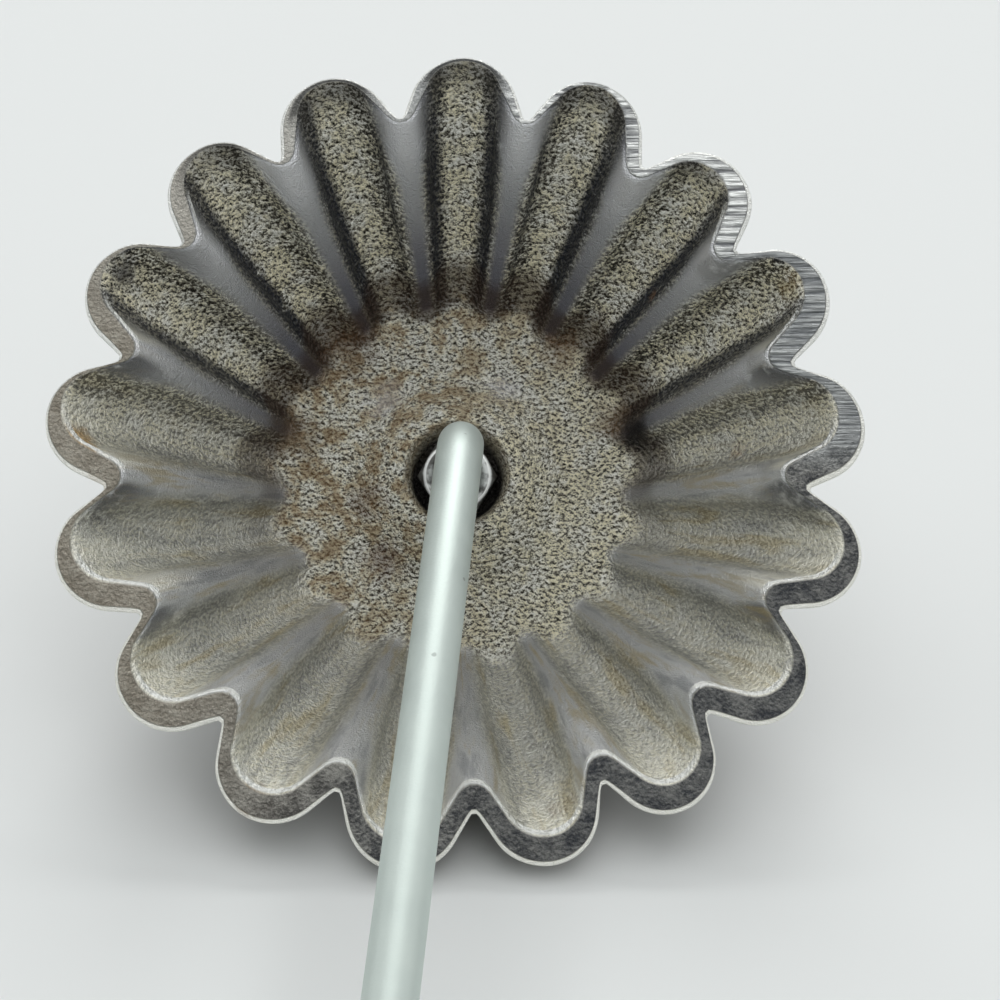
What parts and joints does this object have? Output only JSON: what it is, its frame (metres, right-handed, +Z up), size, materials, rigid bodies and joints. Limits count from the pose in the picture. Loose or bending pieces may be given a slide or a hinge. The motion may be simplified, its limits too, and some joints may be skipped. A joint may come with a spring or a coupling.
{
  "type": "rosette iron",
  "caption": "Rosette iron: a cast aluminium fluted cup, open on one side, on a bent plated steel rod with a lock nut and a turned wooden handle.",
  "frame": {"origin": "on the table, below the middle of the iron's box as it lies on its two lowest flutes and the end of the handle", "axes": "+Z up from the table, -Y along the table towards the handle, so the open side of the cup faces -Y and up"},
  "size_m": [0.0892, 0.2314, 0.0653],
  "materials": {
    "cast_aluminium": "rough cast, stained by frying",
    "plated_rod": "satin zinc plate",
    "plated_nut": "satin zinc plate",
    "plated_ferrule": "satin zinc plate",
    "beech": "oiled, worn"
  },
  "bodies": {
    "handled_rod": {"rod": "plated_rod", "ferrule": "plated_ferrule", "handle": "beech"},
    "nut": {"lock_nut": "plated_nut"},
    "cup": {"fluted_mould": "cast_aluminium"}
  },
  "joints": [
    {"name": "cup_turn", "type": "hinge", "parent": "handled_rod", "child": "nut", "pos_m": [0.00014, 0.08331, 0.03439], "axis": [-0.0698, 0.7064, -0.7044], "range_deg": [0, 2160]},
    {"name": "cup_travel", "type": "slide", "parent": "nut", "child": "cup", "axis": [-0.0698, 0.7064, -0.7044], "range_m": [0, 0.0048]}
  ],
  "couplings": [
    {"joint": "cup_travel", "follows": "cup_turn", "m_per_rad": 0.00012732}
  ]
}
